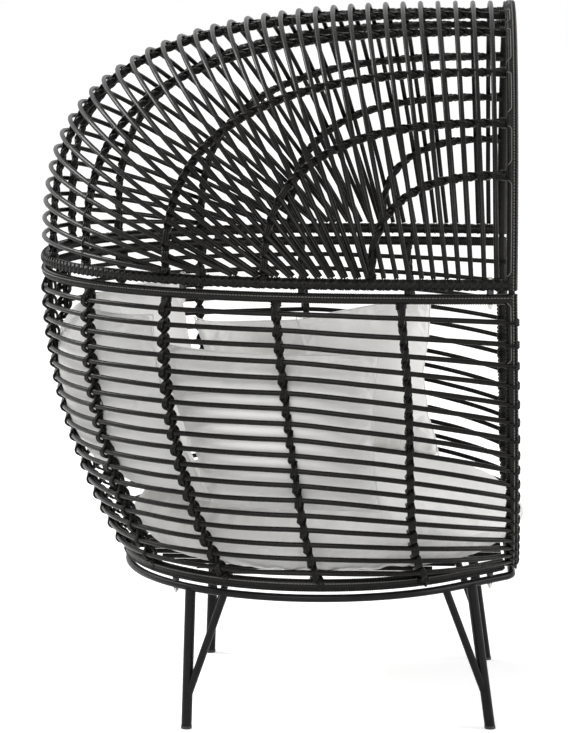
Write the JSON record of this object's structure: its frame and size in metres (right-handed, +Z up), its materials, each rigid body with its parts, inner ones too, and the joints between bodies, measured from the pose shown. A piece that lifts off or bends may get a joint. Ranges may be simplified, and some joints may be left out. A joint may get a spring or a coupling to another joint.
{
  "type": "lounge chair",
  "caption": "Cocoon lounge chair: woven cane basket with a bolted woven hood on a tubular steel base, with loose seat, back and side cushions.",
  "frame": {"origin": "on the floor, at the middle of the overall width and depth", "axes": "+Z up, the chair faces -Y, +X to the right as seen from the front"},
  "size_m": [1.0952, 1.0443, 1.5047],
  "materials": {
    "cane": "extruded synthetic cane, low sheen",
    "wrapped": "tube wrapped with synthetic cane cord",
    "steel": "black powder coat, satin",
    "zinc": "zinc plated",
    "cap": "moulded",
    "fabric": "plain weave outdoor cloth"
  },
  "bodies": {
    "root": {"base_ring": "steel", "leg_rear_left": "steel", "leg_rear_right": "steel", "leg_front_left": "steel", "leg_front_right": "steel", "strut_rear_left": "steel", "strut_rear_right": "steel", "strut_front_left": "steel", "strut_front_right": "steel", "foot_rear_left": "cap", "foot_rear_right": "cap", "foot_front_left": "cap", "foot_front_right": "cap", "base_spacers": "cap", "base_bolts": "zinc", "base_nuts": "zinc", "basket_ring": "wrapped", "front_frame": "wrapped", "basket_rim": "wrapped", "rib_1_left": "wrapped", "rib_2_left": "wrapped", "rib_3_left": "wrapped", "rib_4_left": "wrapped", "rib_5_left": "wrapped", "rib_1_right": "wrapped", "rib_2_right": "wrapped", "rib_3_right": "wrapped", "rib_4_right": "wrapped", "rib_5_right": "wrapped", "basket_canes_upper": "cane", "basket_canes_middle": "cane", "basket_canes_lower": "cane", "floor_bars": "steel", "floor_canes": "cane", "hood_rim": "wrapped", "hood_arch": "wrapped", "hood_rib_1_left": "wrapped", "hood_rib_2_left": "wrapped", "hood_rib_3_left": "wrapped", "hood_rib_4_left": "wrapped", "hood_rib_5_left": "wrapped", "hood_rib_1_right": "wrapped", "hood_rib_2_right": "wrapped", "hood_rib_3_right": "wrapped", "hood_rib_4_right": "wrapped", "hood_rib_5_right": "wrapped", "hood_canes_front": "cane", "hood_canes_middle": "cane", "hood_canes_rear": "cane", "rim_spacers": "cap", "rim_ties": "wrapped", "rim_bolts": "zinc", "rim_nuts": "zinc", "seat_cushion": "fabric", "back_cushion": "fabric", "side_cushion_left": "fabric", "side_cushion_right": "fabric", "pillow": "fabric"}
  },
  "joints": []
}
